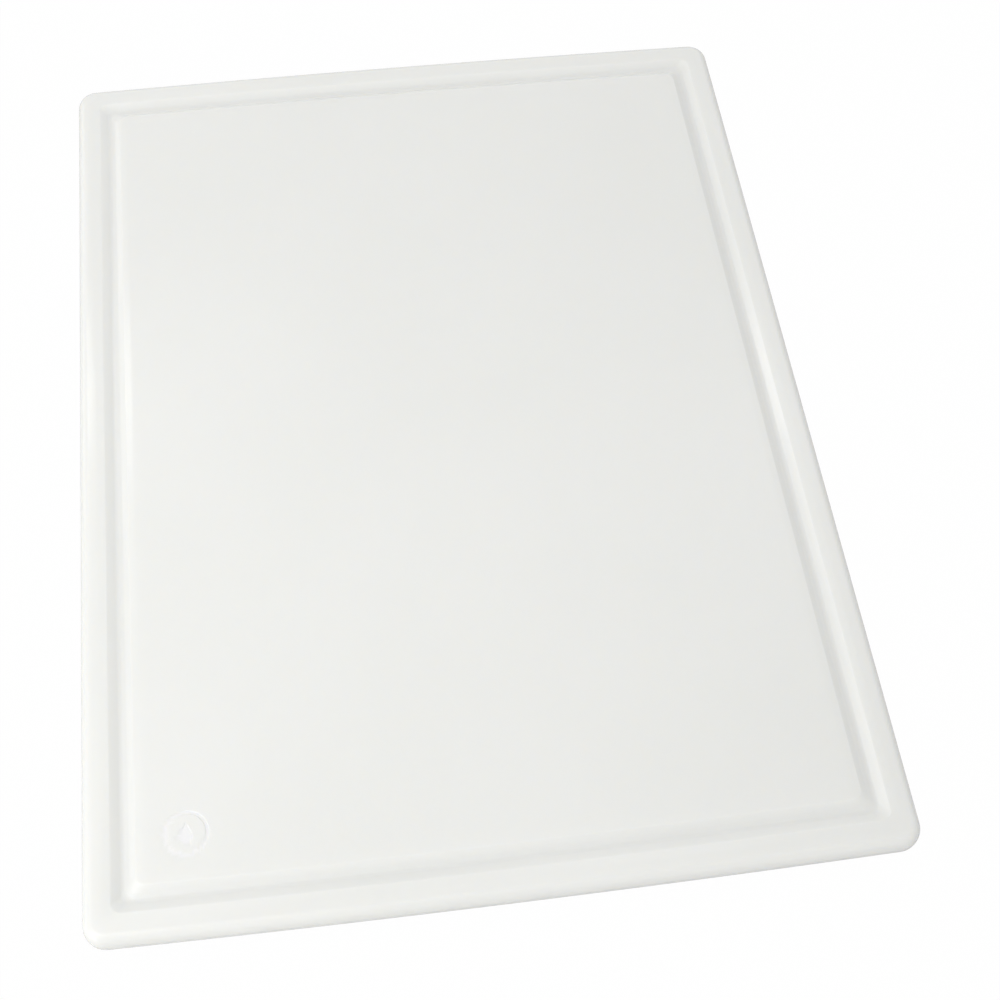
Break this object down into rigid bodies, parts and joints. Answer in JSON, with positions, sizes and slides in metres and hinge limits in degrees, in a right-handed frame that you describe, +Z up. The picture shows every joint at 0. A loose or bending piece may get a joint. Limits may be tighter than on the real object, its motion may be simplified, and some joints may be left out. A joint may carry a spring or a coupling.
{
  "type": "cutting board",
  "caption": "Rectangular white plastic cutting board with rounded edges and a juice groove running all the way round the cutting field.",
  "frame": {"origin": "centre of the flat underside, at the height of the surface the board lies on", "axes": "+Z up out of the cutting face, +Y along the long side, +X across the short side"},
  "size_m": [0.381, 0.508, 0.0127],
  "materials": {
    "white_polyethylene": "satin moulded, faint fine texture on the cutting field"
  },
  "bodies": {
    "root": {"board": "white_polyethylene"}
  },
  "joints": []
}
